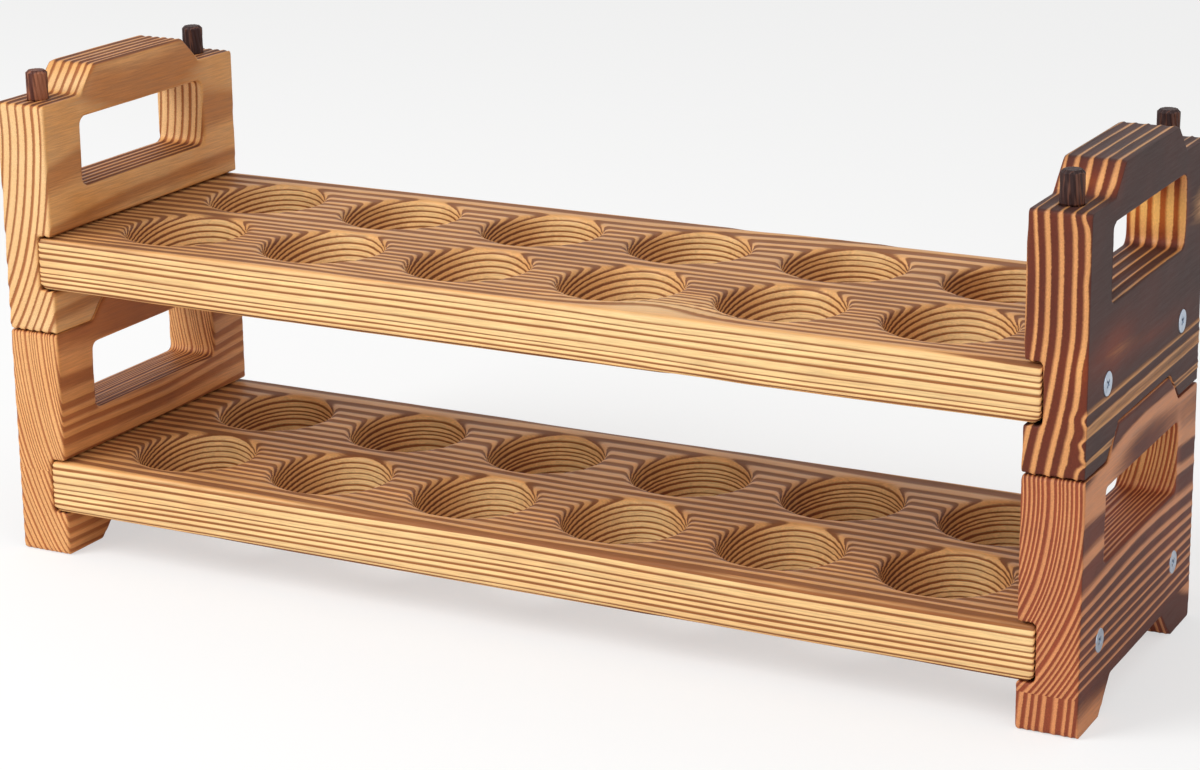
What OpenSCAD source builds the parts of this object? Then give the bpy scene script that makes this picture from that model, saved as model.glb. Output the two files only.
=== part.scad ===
// Two-tier wooden egg holder
// Origin: centre of the lower tier's footprint, on the surface that its feet stand on.
// X runs along the shelves, Y from front to back, Z up.

/* [Tier] */
// Length over the outer faces of the end boards
holder_len = 360; // [340:1:420]
// Depth of every board, from front to back
holder_depth = 105; // [100:1:125]
// Height of one tier, from the soles of its feet to its shoulders
tier_height = 74.5; // [68:0.5:90]
// Thickness of an end board
end_thick = 18.5; // [16:0.5:22]

// Width of the softened corners along the boards' edges
edge_ease = 0.8; // [0.4:0.1:1.5]

/* [Handle and feet] */
// Rise of the handle above the shoulders
handle_rise = 8.7; // [6:0.1:11]
// Width of a shoulder, and of the foot that stands on it
shoulder_w = 19.4; // [16:0.1:22]
// Run of the slope between a shoulder and the handle
slope_w = 9; // [6:0.1:12]
// Air between a handle and the arch that stands over it
arch_gap = 0.4; // [0.3:0.1:1]

/* [Handhold] */
// Wood left beside the handhold, at the front and at the back
handhold_side = 18.9; // [16:0.1:26]
// Height of the handhold
handhold_h = 22; // [16:0.5:24]
// Wood between the handhold and the top of the handle
handle_bar = 16; // [13:0.5:18]
// Radius of the handhold's corners
handhold_r = 2.5; // [1:0.5:5]

/* [Shelf] */
// Thickness of a shelf
shelf_thick = 17.2; // [14:0.1:20]
// Height of the shelf's underside above the soles
shelf_height = 14.4; // [13:0.1:18]
// Depth of the housing that a shelf end sits in
housing_depth = 5.5; // [4:0.1:7]
// Air above a shelf end in its housing
housing_gap = 0.3; // [0.1:0.1:0.8]
// Width of the chamfer under each shelf end, which leads it into its housing
lead_in = 1.8; // [0.5:0.1:2.5]

/* [Egg holes] */
// Diameter of an egg hole
egg_hole_d = 38; // [34:0.5:42]
// Distance between egg holes along the shelf
egg_pitch_x = 52; // [46:0.5:53]
// Distance between the two rows of egg holes
egg_pitch_y = 47; // [43:0.5:52]
// Width of the softened edge round each egg hole
egg_hole_ease = 1.2; // [0.5:0.1:2]
// Least wood between an egg hole and an end board
egg_end_land = 10; // [8:0.5:14]

/* [Dowel pins] */
// Diameter of a dowel pin
pin_d = 7; // [5:0.5:9]
// Height of a pin above its shoulder
pin_show = 9.3; // [6:0.1:12]
// Length of a pin inside its board
pin_sink = 13; // [8:0.5:16]
// Width of the chamfer at a pin's free end
pin_chamfer = 0.9; // [0.4:0.1:1.4]
// How much narrower a pin's bore is than the pin, which is crushed as it is driven in
pin_squeeze = 0.4; // [0.4:0.05:0.6]
// Glue line round the buried length of a pin
pin_glue = 0.05; // [0.02:0.01:0.1]
// Air round a pin in the foot that stands over it
socket_gap = 0.3; // [0.2:0.05:0.6]
// Air above a pin in the foot that stands over it
socket_head_gap = 1; // [0.5:0.1:2]
// Grooves round a pin
flutes = 8; // [6:1:8]
// Width of one groove
flute_w = 0.56; // [0.3:0.02:0.56]

/* [Screws] */
// Overall length of a screw
screw_len = 30; // [24:1:31]
// Diameter of a screw's shank
screw_d = 3.5; // [3:0.1:4]
// Diameter of a screw's head
screw_head_d = 7; // [6:0.1:8]
// Distance from a screw to the board's front or back edge
screw_inset = 18; // [14:0.5:22]
// Depth of a screw's head below the board's face
screw_sunk = 0.2; // [0:0.1:1]
// Width of the arms of the cross recess
recess_w = 0.9; // [0.6:0.1:1.2]
// Length of the arms of the cross recess, tip to tip
recess_len = 3.8; // [3:0.1:4.4]
// Depth of the cross recess
recess_depth = 1.6; // [1:0.1:1.9]
// Air round a screw in its holes
screw_gap = 0.05; // [0.02:0.01:0.2]

/* [Hidden] */
$fn = 64;

// Places: tiers count up from the ground, sides and rows are the signs of X and Y
lower = 0;
upper = 1;
left = -1;
right = 1;
front = -1;
back = 1;

// Overlap that keeps a cut's ends clear of the faces it goes through
past = 1;

slope_angle = atan(handle_rise / slope_w);
inner_face_x = holder_len / 2 - end_thick;
shelf_len = 2 * (inner_face_x + housing_depth);

// As many egg holes in a row as fit between the end boards
egg_columns = 1 + floor((2 * inner_face_x - 2 * egg_end_land - egg_hole_d) / egg_pitch_x);

pin_x = holder_len / 2 - end_thick / 2;
pin_y = holder_depth / 2 - shoulder_w / 2;
pin_bore_d = pin_d - pin_squeeze;

screw_y = holder_depth / 2 - screw_inset;
screw_z = shelf_height + shelf_thick / 2;
screw_head_h = (screw_head_d - screw_d) / 2;
screw_point = screw_d;

char_brown = [0.26, 0.15, 0.08];
brushed_tan = [0.72, 0.52, 0.28];
pin_brown = [0.30, 0.16, 0.09];
zinc = [0.66, 0.70, 0.76];

// Half the width of the raised handle at height z above the shoulders, or of an arch
// that stands off it by gap
function rise_half(z, gap = 0) =
    holder_depth / 2 - shoulder_w + gap / sin(slope_angle) - z / tan(slope_angle);

// Front half of the same outline from its foot to its top, with its foot at height base
function rise_points(base, gap = 0) =
    let(top = handle_rise + gap)
        [[-rise_half(0, gap), base], [-rise_half(top, gap), base + top]];

// Points of an outline's front half, followed by their mirror image in reverse order
function both_halves(points) =
    concat(points, [for (i = [len(points) - 1 : -1 : 0]) [-points[i].x, points[i].y]]);

// Handhold: a rectangle with round corners
module handhold_outline() {
    half = holder_depth / 2 - handhold_side;
    top = tier_height + handle_rise - handle_bar;
    difference() {
        translate([-half, top - handhold_h]) square([2 * half, handhold_h]);
        for (y = [-1, 1], z = [0, 1])
            translate([y * half, top - z * handhold_h])
                rotate(z == 0 ? (y > 0 ? 180 : 270) : (y > 0 ? 90 : 0))
                    corner_outline(handhold_r);
    }
}

// What a round of radius r leaves in a square corner at the origin
module corner_outline(r) {
    difference() {
        square(r);
        translate([r, r]) circle(r);
    }
}

// Side view of an end board: flat shoulders and feet, raised handle, arch and handhold
module end_outline() {
    edge = holder_depth / 2;
    arch = rise_points(0, arch_gap);
    difference() {
        polygon(both_halves([
            arch[1], arch[0],
            [-edge + edge_ease, 0], [-edge, edge_ease],
            [-edge, tier_height - edge_ease], [-edge + edge_ease, tier_height],
            each rise_points(tier_height)
        ]));
        handhold_outline();
    }
}

// Cuts for the shelf end, the screws and the pins, on the board whose outer face looks along +X
module end_cuts() {
    translate([inner_face_x - past, -holder_depth / 2 - past, shelf_height])
        cube([housing_depth + past, holder_depth + 2 * past, shelf_thick + housing_gap]);
    for (row = [front, back]) {
        translate([holder_len / 2 - screw_sunk, row * screw_y, screw_z])
            rotate([0, -90, 0])
                screw_hole(end_thick);
        translate([pin_x, row * pin_y, tier_height - pin_sink])
            cylinder(h = pin_sink + past, d = pin_bore_d);
        translate([pin_x, row * pin_y, -past])
            cylinder(h = pin_show + socket_head_gap + past, d = pin_d + 2 * socket_gap);
    }
}

// Turns a child made for the right side to the given side
module on_side(side) {
    if (side == left) mirror([1, 0, 0]) children();
    else children();
}

module end_board(side, tier) {
    color(char_brown)
        translate([0, 0, tier * tier_height])
            on_side(side)
                difference() {
                    translate([inner_face_x, 0, 0])
                        rotate([90, 0, 90])
                            linear_extrude(end_thick) end_outline();
                    end_cuts();
                }
}

// Egg hole with a softened upper and lower edge
module egg_hole() {
    translate([0, 0, -past]) cylinder(h = shelf_thick + 2 * past, d = egg_hole_d);
    translate([0, 0, shelf_thick - egg_hole_ease])
        cylinder(h = 2 * egg_hole_ease, d1 = egg_hole_d, d2 = egg_hole_d + 4 * egg_hole_ease);
    translate([0, 0, -egg_hole_ease])
        cylinder(h = 2 * egg_hole_ease, d1 = egg_hole_d + 4 * egg_hole_ease, d2 = egg_hole_d);
}

// End view of a shelf: a rectangle with softened corners
module shelf_outline() {
    edge = holder_depth / 2;
    polygon(both_halves([
        [-edge + edge_ease, 0], [-edge, edge_ease],
        [-edge, shelf_thick - edge_ease], [-edge + edge_ease, shelf_thick]
    ]));
}

module shelf(tier) {
    color(brushed_tan)
        translate([0, 0, tier * tier_height + shelf_height])
            difference() {
                translate([-shelf_len / 2, 0, 0])
                    rotate([90, 0, 90])
                        linear_extrude(shelf_len) shelf_outline();
                for (i = [0 : egg_columns - 1], row = [front, back])
                    translate([(i - (egg_columns - 1) / 2) * egg_pitch_x, row * egg_pitch_y / 2, 0])
                        egg_hole();
                for (side = [left, right])
                    on_side(side)
                        shelf_end_cuts();
            }
}

// Cuts for the screws and for the lead-in, on the shelf end that looks along +X
module shelf_end_cuts() {
    for (row = [front, back])
        translate([holder_len / 2 - screw_sunk, row * screw_y, shelf_thick / 2])
            rotate([0, -90, 0])
                screw_hole(screw_len + past);
    translate([shelf_len / 2, 0, 0])
        rotate([0, 45, 0])
            cube([lead_in * sqrt(2), holder_depth + 2 * past, lead_in * sqrt(2)], center = true);
}

// Fluted dowel pin: glued length below the shoulder, chamfered free end above it
module pin(side, row, tier) {
    straight = pin_show - pin_chamfer;
    color(pin_brown)
        translate([side * pin_x, row * pin_y, (tier + 1) * tier_height])
            difference() {
                union() {
                    translate([0, 0, -pin_sink]) cylinder(h = pin_sink, d = pin_bore_d - 2 * pin_glue);
                    cylinder(h = straight, d = pin_d);
                    translate([0, 0, straight])
                        cylinder(h = pin_chamfer, d1 = pin_d, d2 = pin_d - 2 * pin_chamfer);
                }
                for (i = [0 : flutes - 1])
                    rotate(i * 360 / flutes)
                        translate([pin_d / 2, 0, -pin_sink - past])
                            cylinder(h = pin_sink + pin_show + 2 * past, d = flute_w, $fn = 16);
            }
}

// Space for a screw from its head's face downwards, reach deep
module screw_hole(reach) {
    translate([0, 0, -screw_sunk - past])
        cylinder(h = screw_sunk + past, d = screw_head_d + 2 * screw_gap);
    cylinder(h = screw_head_h, d1 = screw_head_d + 2 * screw_gap, d2 = screw_d + 2 * screw_gap);
    cylinder(h = reach, d = screw_d + 2 * screw_gap);
}

// Countersunk cross-head wood screw, its head's face at the origin and its point along +Z
module wood_screw() {
    difference() {
        union() {
            cylinder(h = screw_head_h, d1 = screw_head_d, d2 = screw_d);
            cylinder(h = screw_len - screw_point, d = screw_d);
            translate([0, 0, screw_len - screw_point])
                cylinder(h = screw_point, d1 = screw_d, d2 = 0.4);
        }
        for (turn = [45, 135])
            rotate(turn)
                translate([-recess_len / 2, -recess_w / 2, -past])
                    cube([recess_len, recess_w, recess_depth + past]);
    }
}

module screw(side, row, tier) {
    color(zinc)
        on_side(side)
            translate([holder_len / 2 - screw_sunk, row * screw_y, tier * tier_height + screw_z])
                rotate([0, -90, 0])
                    wood_screw();
}

end_board(left, lower);  // lower_left_end
end_board(right, lower);  // lower_right_end
end_board(left, upper);  // upper_left_end
end_board(right, upper);  // upper_right_end
shelf(lower);  // lower_shelf
shelf(upper);  // upper_shelf
pin(left, front, lower);  // lower_pin_front_left
pin(right, front, lower);  // lower_pin_front_right
pin(left, back, lower);  // lower_pin_back_left
pin(right, back, lower);  // lower_pin_back_right
pin(left, front, upper);  // upper_pin_front_left
pin(right, front, upper);  // upper_pin_front_right
pin(left, back, upper);  // upper_pin_back_left
pin(right, back, upper);  // upper_pin_back_right
screw(left, front, lower);  // lower_screw_front_left
screw(right, front, lower);  // lower_screw_front_right
screw(left, back, lower);  // lower_screw_back_left
screw(right, back, lower);  // lower_screw_back_right
screw(left, front, upper);  // upper_screw_front_left
screw(right, front, upper);  // upper_screw_front_right
screw(left, back, upper);  // upper_screw_back_left
screw(right, back, upper);  // upper_screw_back_right
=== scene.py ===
import math

import bmesh
import bpy
import numpy as np
from mathutils import Matrix, Vector


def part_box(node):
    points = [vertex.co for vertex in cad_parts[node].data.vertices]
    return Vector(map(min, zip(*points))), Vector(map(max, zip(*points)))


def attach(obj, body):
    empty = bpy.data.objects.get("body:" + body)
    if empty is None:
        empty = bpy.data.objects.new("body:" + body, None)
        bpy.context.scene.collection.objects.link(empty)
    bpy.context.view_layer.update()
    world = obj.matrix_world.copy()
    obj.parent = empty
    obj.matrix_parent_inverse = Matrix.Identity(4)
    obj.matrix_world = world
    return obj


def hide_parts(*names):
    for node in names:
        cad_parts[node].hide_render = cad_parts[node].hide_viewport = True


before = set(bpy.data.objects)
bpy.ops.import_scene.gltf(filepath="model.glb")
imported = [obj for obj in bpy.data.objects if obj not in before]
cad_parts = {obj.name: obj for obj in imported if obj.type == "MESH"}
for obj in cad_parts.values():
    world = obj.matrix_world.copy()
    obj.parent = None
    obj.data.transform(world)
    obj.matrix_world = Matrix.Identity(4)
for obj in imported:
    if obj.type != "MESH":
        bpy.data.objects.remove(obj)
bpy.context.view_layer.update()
print("frame loaded,", len(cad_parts), "nodes")

mm = 0.001
axisIndex = {"x": 0, "y": 1, "z": 2}


# camera, floor and lights

view = {
    "place": (0.4179, -0.7903, 0.3371),
    "turn": 27.49,  # degrees to the left of straight ahead
    "tip": 15.14,  # degrees below level
    "lean": -0.72,  # degrees, clockwise in the picture
    "focalLength": 90.2,
    "drop": -0.08,  # the lens is shifted down a little, which keeps the uprights straighter
}

studio = {
    "floorColour": (0.93, 0.93, 0.925),
    "floorSize": 6.0,
    "floorGlow": 0.55,  # share of the floor that shows as plain white to the camera
    "skyStrength": 0.62,
    "keySize": 0.9,
    "keyPower": 14.0,
    "keyPlace": (-0.75, -0.85, 1.05),
    "fillSize": 1.2,
    "fillPower": 3.2,
    "fillPlace": (1.1, -0.6, 0.55),
}


def makeCamera():
    data = bpy.data.cameras.new("camera")
    data.lens = view["focalLength"]
    data.sensor_width = 36
    data.shift_y = view["drop"]
    camera = bpy.data.objects.new("camera", data)
    camera.matrix_world = (
        Matrix.Translation(view["place"])
        @ Matrix.Rotation(math.radians(view["turn"]), 4, "Z")
        @ Matrix.Rotation(math.radians(90 - view["tip"]), 4, "X")
        @ Matrix.Rotation(math.radians(view["lean"]), 4, "Z")
    )
    bpy.context.scene.collection.objects.link(camera)
    bpy.context.scene.camera = camera


def addNode(tree, kind, values=None, **settings):
    # values fills input sockets by name or number: a socket is linked and anything else is set
    made = tree.nodes.new(kind)
    for name, value in settings.items():
        setattr(made, name, value)
    for key, value in (values or {}).items():
        if isinstance(value, bpy.types.NodeSocket):
            tree.links.new(value, made.inputs[key])
        else:
            made.inputs[key].default_value = value
    return made


def calc(tree, operation, first, second=0.0, third=0.0):
    values = {0: first, 1: second, 2: third}
    return addNode(tree, "ShaderNodeMath", values, operation=operation).outputs[0]


def blendColour(tree, share, first, second, how="MIX"):
    values = {"Factor": share, 6: first, 7: second}
    return addNode(tree, "ShaderNodeMix", values, data_type="RGBA", blend_type=how).outputs[2]


def linear(red, green, blue):
    # screen colour from 0 to 255 into the values that a shader takes
    parts = [c / 255 for c in (red, green, blue)]
    return tuple(c / 12.92 if c < 0.04045 else ((c + 0.055) / 1.055) ** 2.4 for c in parts) + (1.0,)


def newMaterial(name):
    material = bpy.data.materials.new(name)
    material.use_nodes = True
    tree = material.node_tree
    tree.nodes.clear()
    return material, tree


def makeFloor():
    material, tree = newMaterial("pale floor")
    path = addNode(tree, "ShaderNodeLightPath")
    matt = addNode(tree, "ShaderNodeBsdfDiffuse", {"Color": studio["floorColour"] + (1,)})
    white = addNode(tree, "ShaderNodeEmission", {"Color": (1, 1, 1, 1), "Strength": 1.0})
    share = calc(tree, "MULTIPLY", path.outputs["Is Camera Ray"], studio["floorGlow"])
    both = addNode(tree, "ShaderNodeMixShader", {0: share, 1: matt.outputs[0], 2: white.outputs[0]})
    addNode(tree, "ShaderNodeOutputMaterial", {"Surface": both.outputs[0]})
    bm = bmesh.new()
    bmesh.ops.create_grid(bm, x_segments=1, y_segments=1, size=studio["floorSize"])
    mesh = bpy.data.meshes.new("floor")
    bm.to_mesh(mesh)
    bm.free()
    mesh.materials.append(material)
    floor = bpy.data.objects.new("floor", mesh)
    bpy.context.scene.collection.objects.link(floor)


def makeLights():
    world = bpy.data.worlds.new("studio")
    bpy.context.scene.world = world
    world.use_nodes = True
    tree = world.node_tree
    tree.nodes.clear()
    path = addNode(tree, "ShaderNodeLightPath")
    seen = calc(tree, "MAXIMUM", path.outputs["Is Camera Ray"], path.outputs["Is Glossy Ray"])
    seen = calc(tree, "MAXIMUM", seen, path.outputs["Is Transmission Ray"])
    spread = addNode(
        tree,
        "ShaderNodeMapRange",
        {"Value": seen, "To Min": studio["skyStrength"], "To Max": 1.0},
    )
    sky = addNode(
        tree,
        "ShaderNodeBackground",
        {"Color": (1, 1, 1, 1), "Strength": spread.outputs["Result"]},
    )
    addNode(tree, "ShaderNodeOutputWorld", {"Surface": sky.outputs[0]})
    for name in ("key", "fill"):
        lamp = bpy.data.lights.new(name, "AREA")
        lamp.shape = "DISK"
        lamp.size = studio[name + "Size"]
        lamp.energy = studio[name + "Power"]
        place = Vector(studio[name + "Place"])
        light = bpy.data.objects.new(name, lamp)
        light.location = place
        light.rotation_euler = (place - Vector((0, 0, 0.08))).to_track_quat("Z", "Y").to_euler()
        bpy.context.scene.collection.objects.link(light)


# growth rings: one field in the solid wood, so that a line runs on round every corner

def softNoise(points, cell, seed):
    # smooth noise from -1 to 1; cell is the size of one wave along each axis, in mm
    table = np.random.default_rng(seed).uniform(-1, 1, (16, 16, 16))
    place = points / np.array(cell, float)
    low = np.floor(place).astype(int)
    part = place - low
    part = part * part * (3 - 2 * part)
    total = np.zeros(len(points))
    for corner in np.ndindex(2, 2, 2):
        share = np.prod(np.where(corner, part, 1 - part), axis=1)
        at = (low + corner) % 16
        total += share * table[at[:, 0], at[:, 1], at[:, 2]]
    return total


growth = {
    "bend": (40.0, 95.0),  # size of a wide wave, across and along the grain, in mm
    "ripple": (14.0, 46.0),  # the same for a small one
    "uneven": 0.45,  # how much the rings differ in width
    "unevenRun": 2.3,  # and over how many rings
}


def stretched(across, along, axis):
    # the same size on every axis but the one that the grain follows
    size = [across] * 3
    size[axis] = along
    return size


def ringField(points, stave, grain):
    # how many growth rings lie between the pith and each point; points are in mm
    along = axisIndex[grain]
    across = [i for i in range(3) if i != along]
    bend = stretched(*growth["bend"], along)
    ripple = stretched(*growth["ripple"], along)
    pith = np.array(stave["pith"], float)
    lean = stave.get("lean", 0.0) * points[:, along]
    side = points[:, across] - pith
    side[:, 1] += lean
    radius = np.hypot(side[:, 0], side[:, 1])
    radius += stave["wave"] * softNoise(points, bend, stave["seed"])
    radius += stave["ripple"] * softNoise(points, ripple, stave["seed"] + 1)
    radius += spotSum(points, stave.get("knots", ()))
    count = radius / stave["ringWidth"]
    steps = np.stack([count, np.zeros_like(count), np.zeros_like(count)], axis=1)
    run = (growth["unevenRun"], 1, 1)
    return count + growth["uneven"] * softNoise(steps, run, stave["seed"] + 2)


def smoothStep(values):
    step = np.clip(values, 0, 1)
    return step * step * (3 - 2 * step)


def bandOf(rings, darkShare, board):
    # 0 in a ring's soft dark part and 1 on its hard light part, which ends abruptly
    part = rings % 1.0
    rise = smoothStep((part - darkShare) / board["gradual"] + 0.5)
    fall = smoothStep((1 - part) / board["abrupt"])
    return rise * fall


def spotSum(points, spots):
    # each spot is a soft ball: its place, its size along each axis and its strength
    total = np.zeros(len(points))
    for place, size, strength in spots:
        away = (points - np.array(place)) / np.array(size, float)
        total += strength * np.exp(-np.sum(away * away, axis=1))
    return total


def faceSum(normals, faces):
    # one value for each way that a face can look, blended by the normal
    total = np.zeros(len(normals))
    for key, value in faces.items():
        sign = -1 if key[0] == "-" else 1
        facing = np.clip(sign * normals[:, axisIndex[key[1]]], 0, 1)
        total += value * facing * facing
    return total


# boards: each is a dense copy of its solid, eased at the corners and brushed along the rings

def linkPiece(name, mesh):
    piece = bpy.data.objects.new(name, mesh)
    bpy.context.scene.collection.objects.link(piece)
    return piece


def applyModifiers(piece):
    bpy.context.view_layer.update()
    done = piece.evaluated_get(bpy.context.evaluated_depsgraph_get())
    mesh = bpy.data.meshes.new_from_object(done)
    piece.modifiers.clear()
    piece.data = mesh
    mesh.name = piece.name


sameSpot = 0.01 * mm  # corners nearer than this are one corner


def denseCopy(node, name, gridSize, easing):
    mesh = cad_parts[node].data.copy()
    mesh.materials.clear()
    bm = bmesh.new()
    bm.from_mesh(mesh)
    bmesh.ops.remove_doubles(bm, verts=bm.verts, dist=sameSpot)
    bm.to_mesh(mesh)
    bm.free()
    piece = linkPiece(name, mesh)
    grid = piece.modifiers.new("even grid", "REMESH")
    grid.mode = "VOXEL"
    grid.voxel_size = gridSize * mm
    applyModifiers(piece)
    bm = bmesh.new()
    bm.from_mesh(piece.data)
    for _ in range(easing):
        bmesh.ops.smooth_vert(
            bm, verts=bm.verts, factor=0.5, use_axis_x=True, use_axis_y=True, use_axis_z=True
        )
    bm.to_mesh(piece.data)
    bm.free()
    return piece


def readMesh(mesh):
    count = len(mesh.vertices)
    places = np.empty(count * 3)
    mesh.vertices.foreach_get("co", places)
    normals = np.empty(count * 3)
    mesh.vertices.foreach_get("normal", normals)
    ends = np.empty(len(mesh.edges) * 2, int)
    mesh.edges.foreach_get("vertices", ends)
    return places.reshape(-1, 3), normals.reshape(-1, 3), ends.reshape(-1, 2)


def neighbourMean(values, ends, count):
    total = np.zeros((count,) + values.shape[1:])
    np.add.at(total, ends[:, 0], values[ends[:, 1]])
    np.add.at(total, ends[:, 1], values[ends[:, 0]])
    share = np.bincount(ends.ravel(), minlength=count).clip(1)
    return total / share.reshape((-1,) + (1,) * (values.ndim - 1))


def sharpness(places, normals, ends, gridSize):
    # positive on outside corners and negative in inside ones
    bulge = -np.sum((neighbourMean(places, ends, len(places)) - places) * normals, axis=1)
    bulge /= gridSize * mm
    for _ in range(3):
        bulge = 0.5 * bulge + 0.5 * neighbourMean(bulge, ends, len(places))
    return bulge


def writeAttribute(mesh, name, values):
    made = mesh.attributes.new(name, "FLOAT", "POINT")
    made.data.foreach_set("value", values.astype(np.float32))


def brushAlongRings(piece, board):
    # stores the ring field on the piece, and takes the soft bands down by the depth of the brush
    mesh = piece.data
    places, normals, ends = readMesh(mesh)
    points = places / mm
    rings = ringField(points, board["staves"][0], board["grain"])
    lowRings = ringField(points, board["staves"][-1], board["grain"])
    shown = np.where(points[:, 2] < board["glueLine"], lowRings, rings)
    corners = sharpness(places, normals, ends, board["gridSize"])
    patches = softNoise(points, board["patchSize"], board["seed"])
    scorch = faceSum(normals, board["scorch"]) + spotSum(points, board["burns"])
    scorch += board["patches"] * patches + board["cornerScorch"] * np.clip(corners, 0, 1)
    scorch = np.clip(scorch, 0, 1)
    calm = np.clip(faceSum(normals, board["calm"]), 0, 1)
    endGrain = np.abs(normals[:, axisIndex[board["grain"]]]) ** 2
    band = bandOf(shown, board["darkShare"] + board["shareGain"] * scorch, board)
    depth = board["relief"] * (1 - 0.4 * endGrain) * (1 - 0.7 * calm) * (1 - band)
    depth += board["roughness"] * (softNoise(points, board["fibreSize"], board["seed"] + 5) + 1)
    places -= normals * (depth * mm)[:, None]
    mesh.vertices.foreach_set("co", places.ravel())
    for label, values in (
        ("ring", rings),
        ("lowRing", lowRings),
        ("scorch", scorch),
        ("calm", calm),
        ("endGrain", endGrain),
        ("corner", corners),
    ):
        writeAttribute(mesh, label, values)
    mesh.polygons.foreach_set("use_smooth", [True] * len(mesh.polygons))
    mesh.update()
    mesh.materials.append(brushedWood(piece.name + " wood", board))


def growBoard(node, name, board):
    piece = denseCopy(node, name, board["gridSize"], board["easing"])
    brushAlongRings(piece, board)
    print(name, "has", len(piece.data.polygons), "faces")
    return piece


def colourRamp(tree, share, stops):
    made = addNode(tree, "ShaderNodeValToRGB", {"Fac": share})
    marks = made.color_ramp.elements
    marks[0].color = linear(*stops[0])
    marks[1].color = linear(*stops[-1])
    for step, colour in enumerate(stops[1:-1], 1):
        marks.new(step / (len(stops) - 1)).color = linear(*colour)
    return made.outputs["Color"]


grainSize = {  # in mm, across and along the fibres
    "streak": (0.5, 14.0),
    "thread": (0.16, 5.0),
    "speck": 0.3,
    "cloud": 18.0,
}


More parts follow.
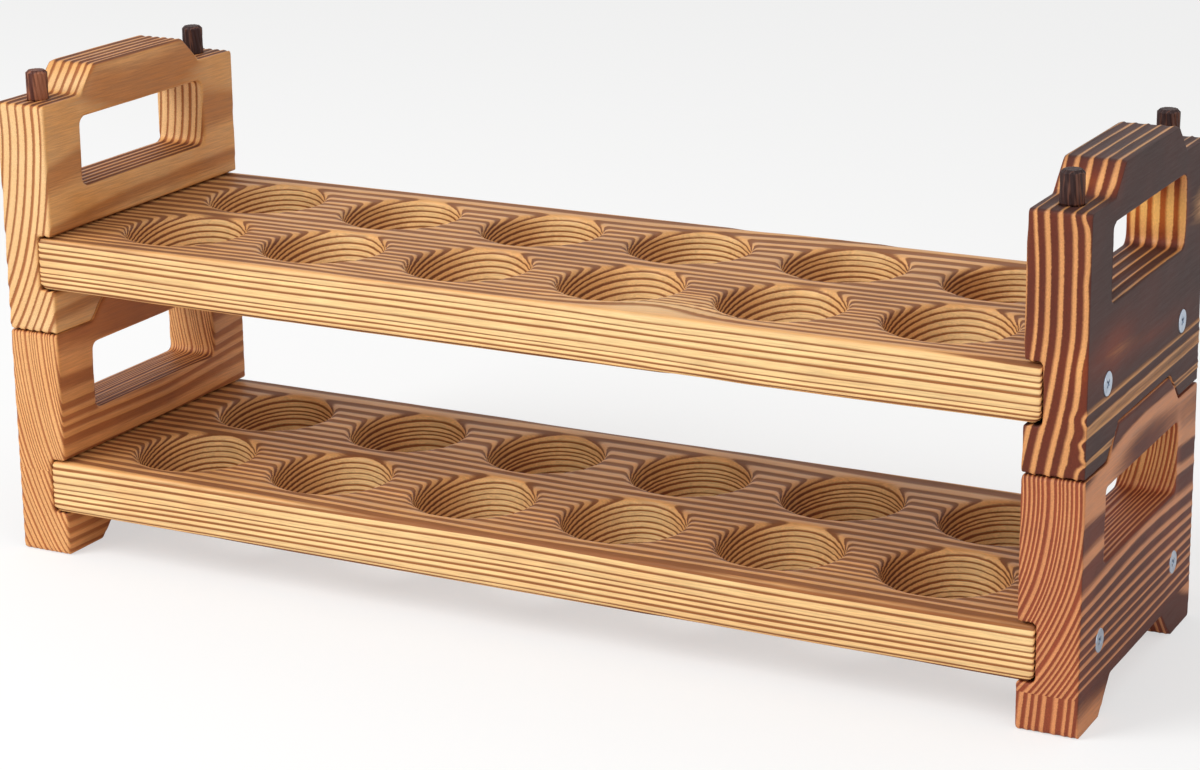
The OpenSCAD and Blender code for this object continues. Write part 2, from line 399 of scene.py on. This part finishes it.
def brushedWood(name, board):
    look = board["look"]
    material, tree = newMaterial(name)

    def attribute(label):
        return addNode(tree, "ShaderNodeAttribute", attribute_name=label).outputs["Fac"]

    def noise(size, detail=3.0, rough=0.55):
        # size is one wave along each axis, in mm
        spread = addNode(
            tree,
            "ShaderNodeMapping",
            {"Vector": place, "Scale": tuple(1 / (s * mm) for s in size)},
        )
        return addNode(
            tree,
            "ShaderNodeTexNoise",
            {"Vector": spread.outputs[0], "Scale": 1.0, "Detail": detail, "Roughness": rough},
        ).outputs["Fac"]

    def spread(value, low, high, toLow, toHigh):
        return addNode(
            tree,
            "ShaderNodeMapRange",
            {"Value": value, "From Min": low, "From Max": high, "To Min": toLow, "To Max": toHigh},
            interpolation_type="SMOOTHSTEP",
        ).outputs["Result"]

    place = addNode(tree, "ShaderNodeTexCoord").outputs["Object"]
    along = axisIndex[board["grain"]]
    streaks = noise(stretched(*grainSize["streak"], along))
    threads = noise(stretched(*grainSize["thread"], along), 2.0)
    specks = noise([grainSize["speck"]] * 3, 2.0)
    clouds = noise([grainSize["cloud"]] * 3, 2.0)

    scorch = attribute("scorch")
    endGrain = attribute("endGrain")
    calm = attribute("calm")
    height = addNode(tree, "ShaderNodeSeparateXYZ", {0: place}).outputs["Z"]
    low = calc(tree, "LESS_THAN", height, board["glueLine"] * mm)
    rings = addNode(
        tree, "ShaderNodeMix", {"Factor": low, 2: attribute("ring"), 3: attribute("lowRing")}
    ).outputs[0]
    rings = calc(tree, "MULTIPLY_ADD", streaks, look["jitter"], rings)
    part = calc(tree, "FRACT", rings)
    tone = addNode(
        tree, "ShaderNodeTexWhiteNoise", {"W": calc(tree, "FLOOR", rings)}, noise_dimensions="1D"
    ).outputs["Value"]
    tone = calc(tree, "SUBTRACT", tone, 0.5)
    share = calc(tree, "MULTIPLY_ADD", scorch, board["shareGain"], board["darkShare"])
    share = calc(tree, "MULTIPLY_ADD", tone, look["uneven"], share)
    rise = spread(
        part,
        calc(tree, "SUBTRACT", share, board["gradual"] / 2),
        calc(tree, "ADD", share, board["gradual"] / 2),
        0.0,
        1.0,
    )
    fall = spread(part, 1 - board["abrupt"], 1.0, 1.0, 0.0)
    band = calc(tree, "MULTIPLY", rise, fall)
    seen = calc(tree, "MULTIPLY_ADD", calm, -look["calmness"], 1.0)
    seen = calc(tree, "MULTIPLY", band, seen)
    seen = calc(tree, "MULTIPLY_ADD", calm, look["calmLevel"], seen)

    # the burnt shade is uneven, in clouds and along the fibres
    burnt = calc(tree, "MULTIPLY_ADD", calc(tree, "SUBTRACT", clouds, 0.5), look["clouds"], scorch)
    burnt = calc(tree, "MULTIPLY_ADD", calc(tree, "SUBTRACT", streaks, 0.5), look["streaks"], burnt)
    wood = blendColour(
        tree, seen, colourRamp(tree, burnt, look["dark"]), colourRamp(tree, burnt, look["light"])
    )
    # long fibres on the sides, pores on the end grain
    fineGrain = addNode(tree, "ShaderNodeMix", {"Factor": endGrain, 2: streaks, 3: specks}).outputs[0]
    shade = spread(fineGrain, 0.3, 0.7, 1 - look["fibre"], 1 + look["fibre"])
    shade = calc(tree, "MULTIPLY", shade, calc(tree, "MULTIPLY_ADD", threads, 0.36, 0.82))
    shade = calc(tree, "MULTIPLY_ADD", tone, look["toneChange"], shade)
    grey = addNode(tree, "ShaderNodeCombineColor", {0: shade, 1: shade, 2: shade}).outputs[0]
    wood = blendColour(tree, 1.0, wood, grey, "MULTIPLY")
    # inside corners darken towards near-black: partly soot, partly painted shade where a crease or
    # joint lies in shadow
    sootAndShade = spread(attribute("corner"), -0.5, -0.06, look["sootAndShade"], 0.0)
    # the near-black here is soot and painted crease shade together
    wood = blendColour(tree, sootAndShade, wood, linear(30, 18, 13))

    relief = calc(tree, "MULTIPLY_ADD", fineGrain, 0.35, calc(tree, "MULTIPLY", band, 0.5))
    relief = calc(tree, "MULTIPLY_ADD", threads, 0.25, relief)
    bump = addNode(
        tree,
        "ShaderNodeBump",
        {"Strength": look["bump"], "Distance": 0.25 * mm, "Height": relief},
    ).outputs[0]
    gloss = spread(band, 0.0, 1.0, look["darkGloss"], look["lightGloss"])
    gloss = calc(tree, "MULTIPLY_ADD", calc(tree, "SUBTRACT", streaks, 0.5), 0.25, gloss)
    shader = addNode(
        tree,
        "ShaderNodeBsdfPrincipled",
        {"Base Color": wood, "Roughness": gloss, "Normal": bump, "IOR": 1.45,
         "Specular IOR Level": 0.35},
    )
    addNode(tree, "ShaderNodeOutputMaterial", {"Surface": shader.outputs[0]})
    return material


# what all boards share; each board's own dictionary goes over it

commonLook = {
    "jitter": 0.14,
    "uneven": 0.2,
    # from bare to charred, in four steps
    "light": ((244, 206, 146), (230, 172, 108), (196, 134, 78), (120, 80, 50)),
    "dark": ((168, 104, 54), (132, 72, 36), (78, 38, 24), (36, 22, 20)),
    "clouds": 0.22,
    "streaks": 0.16,
    "calmness": 0.7,  # how far a quiet face loses its bands
    "calmLevel": 0.3,  # and how light it is then
    "fibre": 0.13,
    "toneChange": 0.12,
    # how dark inside corners get: soot, and painted shade in creases and joints
    "sootAndShade": 0.85,
    "bump": 0.7,
    "darkGloss": 0.62,
    "lightGloss": 0.46,
}

endBoard = {
    "grain": "y",
    "gridSize": 0.6,
    "easing": 3,
    "glueLine": -50.0,  # height of the joint between two staves; below the board there is none
    "patchSize": (18, 34, 18),
    "patches": 0.08,
    "cornerScorch": 0.55,
    "burns": (),
    "calm": {},
    "darkShare": 0.30,
    "shareGain": 0.45,
    "gradual": 0.3,
    "abrupt": 0.12,
    "relief": 0.30,
    "fibreSize": (0.8, 5.0, 0.8),
    "roughness": 0.03,
}

shelfBoard = dict(
    endBoard,
    grain="x",
    gridSize=0.97,
    easing=2,
    patchSize=(60, 20, 12),
    fibreSize=(8.0, 1.2, 1.2),
    relief=0.35,
)

upperFoot = 74.5  # height of the upper tier's soles
faceX = 180.0

boards = {
    "upper_right_end": dict(
        endBoard,
        seed=11,
        darkShare=0.4,
        scorch={"+x": 0.86, "-x": 0.4, "-y": 0.46, "+y": 0.5, "+z": 0.8, "-z": 0.5},
        calm={"-x": 0.4},
        burns=(
            ((171, -31, 153), (14, 5, 6), -0.42),  # the handle's front slope is only singed
            ((171, 34, 131), (14, 3, 9), -0.45),  # and so is the handhold's back wall
            ((faceX, -30, 107), (6, 34, 7), -0.3),
            ((faceX, 10, 101), (6, 30, 3), -0.25),
        ),
        staves=[{
            "pith": (161.5 - 225, 130), "ringWidth": 3.5, "wave": 1.6, "ripple": 0.3, "seed": 21,
            "knots": (
                ((faceX, 0, 148), (5, 300, 2.4), 1.5),
                ((faceX, -44, 129), (4, 7, 3.5), 1.6),
                ((faceX, -20, 106), (5, 60, 5), 0.9),
                ((faceX, 0, 92), (4, 300, 2.0), 1.6),
                ((faceX, 10, 85), (4, 300, 1.3), 1.4),
                ((faceX, 20, 79.5), (4, 300, 1.2), -1.5),
            ),
        }],
        look=dict(
            commonLook,
            light=((250, 190, 106), (226, 160, 100), (196, 130, 76), (190, 138, 74)),
            dark=((176, 86, 26), (112, 44, 18), (72, 32, 22), (44, 27, 25)),
        ),
    ),
    "lower_right_end": dict(
        endBoard,
        seed=12,
        darkShare=0.36,
        relief=0.14,
        glueLine=11.5,
        scorch={"+x": 0.66, "-x": 0.35, "-y": 0.36, "+y": 0.4, "+z": 0.5, "-z": 0.4},
        calm={"-x": 0.4},
        burns=(((171, 34, 56), (14, 3, 12), -0.3),),
        staves=[
            {"pith": (161.5 - 70, 68), "ringWidth": 1.4, "wave": 1.5, "ripple": 0.18, "seed": 31},
            {"pith": (161.5 - 300, 30), "ringWidth": 2.45, "wave": 3.0, "ripple": 0.3, "seed": 32},
        ],
        look=dict(
            commonLook,
            light=((238, 178, 112), (212, 140, 90), (190, 122, 76), (170, 112, 66)),
            dark=((170, 92, 50), (142, 66, 38), (82, 38, 26), (40, 24, 21)),
        ),
    ),
    "upper_left_end": dict(
        endBoard,
        seed=13,
        darkShare=0.2,
        scorch={"+x": 0.24, "-x": 0.75, "-y": 0.1, "+y": 0.4, "+z": 0.6, "-z": 0.4},
        calm={"+x": 0.8},
        burns=(((-171, -31, 153), (14, 5, 6), -0.3),),
        staves=[{
            "pith": (-161.5 - 130, 140), "ringWidth": 2.9, "wave": 1.6, "ripple": 0.3, "seed": 41,
        }],
        look=dict(
            commonLook,
            light=((236, 194, 140), (224, 164, 96), (190, 126, 72), (120, 80, 50)),
            dark=((160, 100, 58), (156, 88, 38), (86, 46, 28), (40, 25, 20)),
        ),
    ),
    "lower_left_end": dict(
        endBoard,
        seed=14,
        darkShare=0.26,
        relief=0.14,
        glueLine=28.0,
        scorch={"+x": 0.36, "-x": 0.75, "-y": 0.16, "+y": 0.4, "+z": 0.6, "-z": 0.4},
        calm={"+x": 0.55},
        staves=[
            {"pith": (-161.5 + 118, 78), "ringWidth": 1.3, "wave": 1.4, "ripple": 0.2, "seed": 51},
            {"pith": (-161.5 + 95, 66), "ringWidth": 1.9, "wave": 1.4, "ripple": 0.2, "seed": 52},
        ],
        look=dict(
            commonLook,
            light=((232, 176, 116), (220, 152, 90), (190, 126, 72), (120, 80, 50)),
            dark=((180, 112, 64), (150, 80, 38), (86, 42, 28), (40, 25, 20)),
        ),
    ),
    "upper_shelf": dict(
        shelfBoard,
        seed=15,
        darkShare=0.22,
        scorch={"+x": 0.5, "-x": 0.5, "-y": 0.08, "+y": 0.12, "+z": 0.44, "-z": 0.5},
        calm={"+z": 0.35},
        burns=(((50, -42, 106), (34, 14, 8), -0.32),),
        staves=[{
            "pith": (112, upperFoot - 264), "ringWidth": 1.7, "wave": 1.0, "ripple": 0.25,
            "seed": 61, "lean": 0.006,
            "knots": (((46, -40, 106), (22, 9, 9), 3.2),),
        }],
        look=dict(commonLook, dark=((150, 92, 46), (126, 72, 38), (82, 42, 27), (36, 22, 20))),
    ),
    "lower_shelf": dict(
        shelfBoard,
        seed=16,
        darkShare=0.22,
        scorch={"+x": 0.5, "-x": 0.5, "-y": 0.08, "+y": 0.12, "+z": 0.42, "-z": 0.5},
        calm={"+z": 0.35},
        staves=[{
            "pith": (108, -262), "ringWidth": 1.7, "wave": 0.9, "ripple": 0.25, "seed": 71,
            "lean": -0.003,
        }],
        look=dict(commonLook, dark=((150, 92, 46), (126, 72, 38), (82, 42, 27), (36, 22, 20))),
    ),
}


# dowel pins: slanted grooves, a chamfered end and charred end grain

pinShape = {
    "radius": 3.5,
    "gluedRadius": 3.25,  # in its bore, where it is pressed in
    "sunk": 13.0,
    "chamfer": 0.9,
    "grooves": 15,
    "grooveDepth": 0.34,
    "twist": 24.0,  # degrees over the standing length
    "standing": 9.3,
    "sides": 120,
    "gridSize": 0.25,
}

pinWood = dict(
    endBoard,
    grain="z",
    gridSize=pinShape["gridSize"],
    easing=0,
    patches=0.1,
    patchSize=(6, 6, 6),
    cornerScorch=0.3,
    darkShare=0.4,
    relief=0.06,
    fibreSize=(0.5, 0.5, 3.0),
    roughness=0.05,
    scorch={"+z": 0.8, "+x": 0.72, "-x": 0.72, "+y": 0.72, "-y": 0.72},
    look=dict(
        commonLook,
        light=((214, 150, 100), (170, 104, 70), (112, 68, 50), (74, 48, 42)),
        dark=((150, 84, 52), (104, 54, 38), (62, 34, 30), (32, 21, 22)),
    ),
)


def growPin(node, name, seed, scorched):
    low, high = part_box(node)
    middle = (low + high) / 2
    glued = pinShape["gluedRadius"] * mm
    radius = pinShape["radius"] * mm
    chamfer = pinShape["chamfer"] * mm
    step = pinShape["gridSize"] * mm
    shoulder = low.z + pinShape["sunk"] * mm
    profile = [(0.0, low.z), (glued / 2, low.z), (glued - chamfer, low.z), (glued, low.z + chamfer)]
    profile += [(glued, z) for z in np.arange(low.z + 2 * mm, shoulder, 1.2 * mm)]
    profile += [(radius, z) for z in np.arange(shoulder, high.z - chamfer - step / 2, step)]
    tip = radius - chamfer
    profile += [(radius - chamfer * s, high.z - chamfer * (1 - s)) for s in (0, 1 / 3, 2 / 3)]
    profile += [(r, high.z) for r in np.arange(tip, 0.2 * mm, -step)] + [(0.0, high.z)]
    bm = bmesh.new()
    line = [bm.verts.new((middle.x + r, middle.y, z)) for r, z in profile]
    edges = [bm.edges.new(pair) for pair in zip(line, line[1:])]
    bmesh.ops.spin(
        bm, geom=line + edges, cent=(middle.x, middle.y, 0), axis=(0, 0, 1),
        angle=math.tau, steps=pinShape["sides"], use_merge=True,
    )
    bmesh.ops.remove_doubles(bm, verts=bm.verts, dist=sameSpot / 10)
    bmesh.ops.recalc_face_normals(bm, faces=bm.faces)
    mesh = bpy.data.meshes.new(name)
    bm.to_mesh(mesh)
    bm.free()
    piece = linkPiece(name, mesh)
    places = readMesh(mesh)[0]
    side = places[:, :2] - np.array(middle.xy)
    reach = np.hypot(side[:, 0], side[:, 1])
    turn = np.arctan2(side[:, 1], side[:, 0])
    rise = (places[:, 2] - shoulder) / (pinShape["standing"] * mm)
    wobble = 0.35 * softNoise(places / mm, (2, 2, 4), seed)
    wave = np.cos(pinShape["grooves"] * (turn + rise * math.radians(pinShape["twist"])) + wobble)
    cut = pinShape["grooveDepth"] * mm * np.clip(wave, 0, 1) ** 1.5
    cut *= smoothStep((reach / mm - 2.0) / 1.0)
    side *= (1 - cut / np.maximum(reach, 0.1 * mm))[:, None]
    places[:, :2] = np.array(middle.xy) + side
    mesh.vertices.foreach_set("co", places.ravel())
    mesh.update()
    stave = {"pith": (middle.x / mm - 14, middle.y / mm + 8), "ringWidth": 1.5, "wave": 0.4,
             "ripple": 0.1, "seed": seed}
    wood = dict(pinWood, seed=seed, staves=[stave])
    everywhere = (40, 40, 40)
    wood["burns"] = ((tuple(middle / mm), everywhere, scorched),)
    brushAlongRings(piece, wood)
    return piece


# wood screws: a countersunk head with a cross recess, and a threaded shank inside the shelf

screwShape = {
    "headRadius": 3.5,
    "headHeight": 2.1,
    "rim": 0.35,
    "coreRadius": 1.15,
    "threadRadius": 1.75,
    "threadPitch": 1.5,
    "plain": 9.0,  # length under the head without a thread
    "point": 4.0,
    "sides": 40,
    "recessLength": 3.9,
    "recessWidth": 0.85,
    "recessDepth": 1.7,
    "recessTaper": (0.7, 0.45),  # width and length at the bottom, as shares of those at the top
    "sharpAngle": 35,  # degrees between two faces from which their edge shows
}


def zincMaterial():
    material, tree = newMaterial("bright zinc")
    place = addNode(tree, "ShaderNodeTexCoord").outputs["Object"]
    scratches = addNode(
        tree, "ShaderNodeTexNoise", {"Vector": place, "Scale": 900.0, "Detail": 4.0}
    ).outputs["Fac"]
    tintAndReflection = addNode(
        tree, "ShaderNodeTexNoise", {"Vector": place, "Scale": 260.0, "Detail": 2.0}
    ).outputs["Fac"]
    # the colour wanders in soft blotches from dark to pale bluish grey: the zinc's bluish tint, with
    # the dark blotches as painted reflection
    colour = colourRamp(tree, tintAndReflection, ((120, 136, 158), (178, 190, 206), (206, 212, 220)))
    gloss = calc(tree, "MULTIPLY_ADD", scratches, 0.3, 0.16)
    bump = addNode(
        tree, "ShaderNodeBump", {"Strength": 0.25, "Distance": 0.05 * mm, "Height": scratches}
    ).outputs[0]
    shader = addNode(
        tree,
        "ShaderNodeBsdfPrincipled",
        {"Base Color": colour, "Metallic": 0.92, "Roughness": gloss, "Normal": bump},
    )
    addNode(tree, "ShaderNodeOutputMaterial", {"Surface": shader.outputs[0]})
    return material


def screwRadius(along, turn, length):
    # distance from the axis at a depth under the head's face, all in mm
    head, core = screwShape["headRadius"], screwShape["coreRadius"]
    cone = (screwShape["headHeight"] - along) / (screwShape["headHeight"] - screwShape["rim"])
    tapered = core + (head - core) * np.clip(cone, 0, 1)
    phase = (turn / math.tau + along / screwShape["threadPitch"]) % 1.0
    ridge = np.clip(1 - np.abs(phase - 0.5) / 0.22, 0, 1)
    fade = np.clip((along - screwShape["plain"]) / 1.5, 0, 1)
    threaded = core + (screwShape["threadRadius"] - core) * ridge * fade
    plain = np.where(along < screwShape["plain"] + 0.8, screwShape["threadRadius"] * 0.86, 0)
    shank = np.maximum(threaded, plain)
    point = np.clip((length - along) / screwShape["point"], 0.0, 1) ** 0.8
    return np.maximum(tapered * (along < screwShape["headHeight"]), shank * point)


def growScrew(node, name, material):
    low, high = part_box(node)
    out = 1 if low.x > 0 else -1
    face = high.x if out > 0 else low.x
    middle = (low + high) / 2
    length = (high.x - low.x) / mm
    depths = np.concatenate((
        [0.0, 0.12, screwShape["rim"]],
        np.linspace(screwShape["rim"], screwShape["headHeight"], 6)[1:],
        np.arange(screwShape["headHeight"] + 0.4, length, screwShape["threadPitch"] / 9),
    ))
    bm = bmesh.new()
    line = [bm.verts.new((depth * mm, 0, mm)) for depth in depths]
    edges = [bm.edges.new(pair) for pair in zip(line, line[1:])]
    bmesh.ops.spin(
        bm, geom=line + edges, cent=(0, 0, 0), axis=(1, 0, 0), angle=math.tau,
        steps=screwShape["sides"], use_merge=True,
    )
    bmesh.ops.remove_doubles(bm, verts=bm.verts, dist=sameSpot / 10)
    bmesh.ops.holes_fill(bm, edges=bm.edges, sides=screwShape["sides"] + 2)
    for vertex in bm.verts:
        turn = math.atan2(vertex.co.z, vertex.co.y)
        reach = float(screwRadius(vertex.co.x / mm, turn, length))
        if vertex.co.x == 0:
            reach -= 0.12
        vertex.co.yz = (reach * mm * math.cos(turn), reach * mm * math.sin(turn))
    bmesh.ops.recalc_face_normals(bm, faces=bm.faces)
    mesh = bpy.data.meshes.new(name)
    bm.to_mesh(mesh)
    bm.free()
    piece = linkPiece(name, mesh)

    bm = bmesh.new()
    for turn in (45, 135):
        size = (2 * screwShape["recessDepth"] * mm, screwShape["recessWidth"] * mm,
                screwShape["recessLength"] * mm)
        made = bmesh.ops.create_cube(bm, size=1.0)["verts"]
        bmesh.ops.scale(bm, vec=size, verts=made)
        for vertex in made:
            if vertex.co.x > 0:
                vertex.co.y *= screwShape["recessTaper"][0]
                vertex.co.z *= screwShape["recessTaper"][1]
        bmesh.ops.rotate(bm, verts=made, cent=(0, 0, 0), matrix=Matrix.Rotation(
            math.radians(turn), 3, "X"))
    cutMesh = bpy.data.meshes.new("recess")
    bm.to_mesh(cutMesh)
    bm.free()
    cutter = linkPiece("recess", cutMesh)
    carve = piece.modifiers.new("recess", "BOOLEAN")
    carve.object = cutter
    carve.use_self = True
    applyModifiers(piece)
    bpy.data.objects.remove(cutter)
    # turned about the vertical so that the head looks outwards
    turned = Matrix.Diagonal((-out, -out, 1, 1))
    mesh = piece.data
    mesh.transform(Matrix.Translation((face, middle.y, middle.z)) @ turned)
    mesh.materials.append(material)
    mesh.polygons.foreach_set("use_smooth", [True] * len(mesh.polygons))
    mesh.set_sharp_from_angle(angle=math.radians(screwShape["sharpAngle"]))
    return piece


def seat(piece, node):
    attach(piece, "upper_tier" if node.startswith("upper") else "lower_tier")
    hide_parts(node)


# putting it together

bpy.context.scene.view_settings.view_transform = "Standard"
makeCamera()
makeFloor()
makeLights()
print("studio ready")


for node, board in boards.items():
    piece = growBoard(node, node + "_grown", board)
    seat(piece, node)
print("boards done")

# the front left pin is less charred than the others
pinScorch = {"upper_pin_front_left": -0.3, "upper_pin_front_right": 0.02}
zinc = zincMaterial()
nodes = sorted(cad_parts)
for seed, node in enumerate(n for n in nodes if "_pin_" in n):
    piece = growPin(node, node + "_fluted", 200 + seed, pinScorch.get(node, 0.08))
    seat(piece, node)
for node in (n for n in nodes if "_screw_" in n):
    piece = growScrew(node, node + "_threaded", zinc)
    seat(piece, node)
print("pins and screws done")
